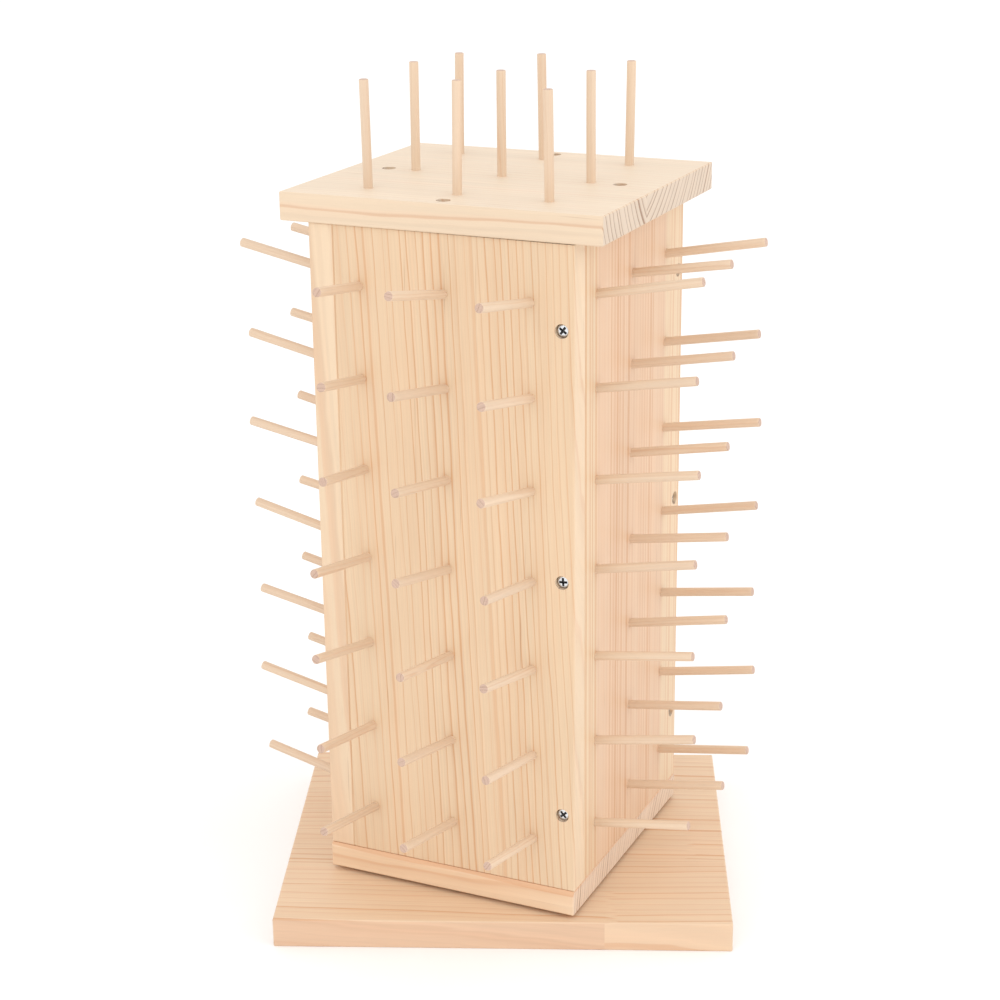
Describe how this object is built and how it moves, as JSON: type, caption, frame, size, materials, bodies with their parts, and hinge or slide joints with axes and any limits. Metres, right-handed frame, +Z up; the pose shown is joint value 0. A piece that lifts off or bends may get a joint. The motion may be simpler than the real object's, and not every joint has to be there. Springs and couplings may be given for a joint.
{
  "type": "revolving thread rack",
  "caption": "Revolving wooden thread rack: a square hollow column with tilted spool pegs on all four walls and upright pegs on top, turning on a ball bearing over a base board.",
  "frame": {"origin": "centre of the base board's underside, on the column's turning axis", "axes": "+Z up along the turning axis, +X to the right and -Y to the front of the base board"},
  "size_m": [0.3392, 0.3472, 0.5537],
  "materials": {
    "pine": "unfinished sanded pine, pale cream with straw-coloured growth lines",
    "peg_wood": "unfinished turned dowel, a little darker than the boards",
    "zinc_screws": "bright zinc plate",
    "bearing_steel": "zinc-plated sheet steel"
  },
  "bodies": {
    "base": {"base_board": "pine", "bearing_lower_plate": "bearing_steel", "bearing_eyelet": "bearing_steel", "bearing_lower_screws": "zinc_screws"},
    "ball_ring": {"ball_cage": "bearing_steel", "bearing_balls": "bearing_steel"},
    "column": {"floor_board": "pine", "front_panel": "pine", "right_panel": "pine", "back_panel": "pine", "left_panel": "pine", "top_board": "pine", "front_corner_screws": "zinc_screws", "right_corner_screws": "zinc_screws", "back_corner_screws": "zinc_screws", "left_corner_screws": "zinc_screws", "top_board_screws": "zinc_screws", "floor_board_screws": "zinc_screws", "bearing_upper_plate": "bearing_steel", "bearing_upper_screws": "zinc_screws", "front_pegs_row_1": "peg_wood", "front_pegs_row_2": "peg_wood", "front_pegs_row_3": "peg_wood", "front_pegs_row_4": "peg_wood", "front_pegs_row_5": "peg_wood", "front_pegs_row_6": "peg_wood", "front_pegs_row_7": "peg_wood", "right_pegs_row_1": "peg_wood", "right_pegs_row_2": "peg_wood", "right_pegs_row_3": "peg_wood", "right_pegs_row_4": "peg_wood", "right_pegs_row_5": "peg_wood", "right_pegs_row_6": "peg_wood", "right_pegs_row_7": "peg_wood", "back_pegs_row_1": "peg_wood", "back_pegs_row_2": "peg_wood", "back_pegs_row_3": "peg_wood", "back_pegs_row_4": "peg_wood", "back_pegs_row_5": "peg_wood", "back_pegs_row_6": "peg_wood", "back_pegs_row_7": "peg_wood", "left_pegs_row_1": "peg_wood", "left_pegs_row_2": "peg_wood", "left_pegs_row_3": "peg_wood", "left_pegs_row_4": "peg_wood", "left_pegs_row_5": "peg_wood", "left_pegs_row_6": "peg_wood", "left_pegs_row_7": "peg_wood", "top_pegs_row_1": "peg_wood", "top_pegs_row_2": "peg_wood", "top_pegs_row_3": "peg_wood"}
  },
  "joints": [
    {"name": "turntable_spin", "type": "hinge", "parent": "base", "child": "column", "pos_m": [0, 0, 0.024], "axis": [0, 0, 1], "continuous": true},
    {"name": "ball_orbit", "type": "hinge", "parent": "base", "child": "ball_ring", "pos_m": [0, 0, 0.024], "axis": [0, 0, 1], "continuous": true}
  ],
  "couplings": [
    {"joint": "ball_orbit", "follows": "turntable_spin", "ratio": 0.5}
  ]
}
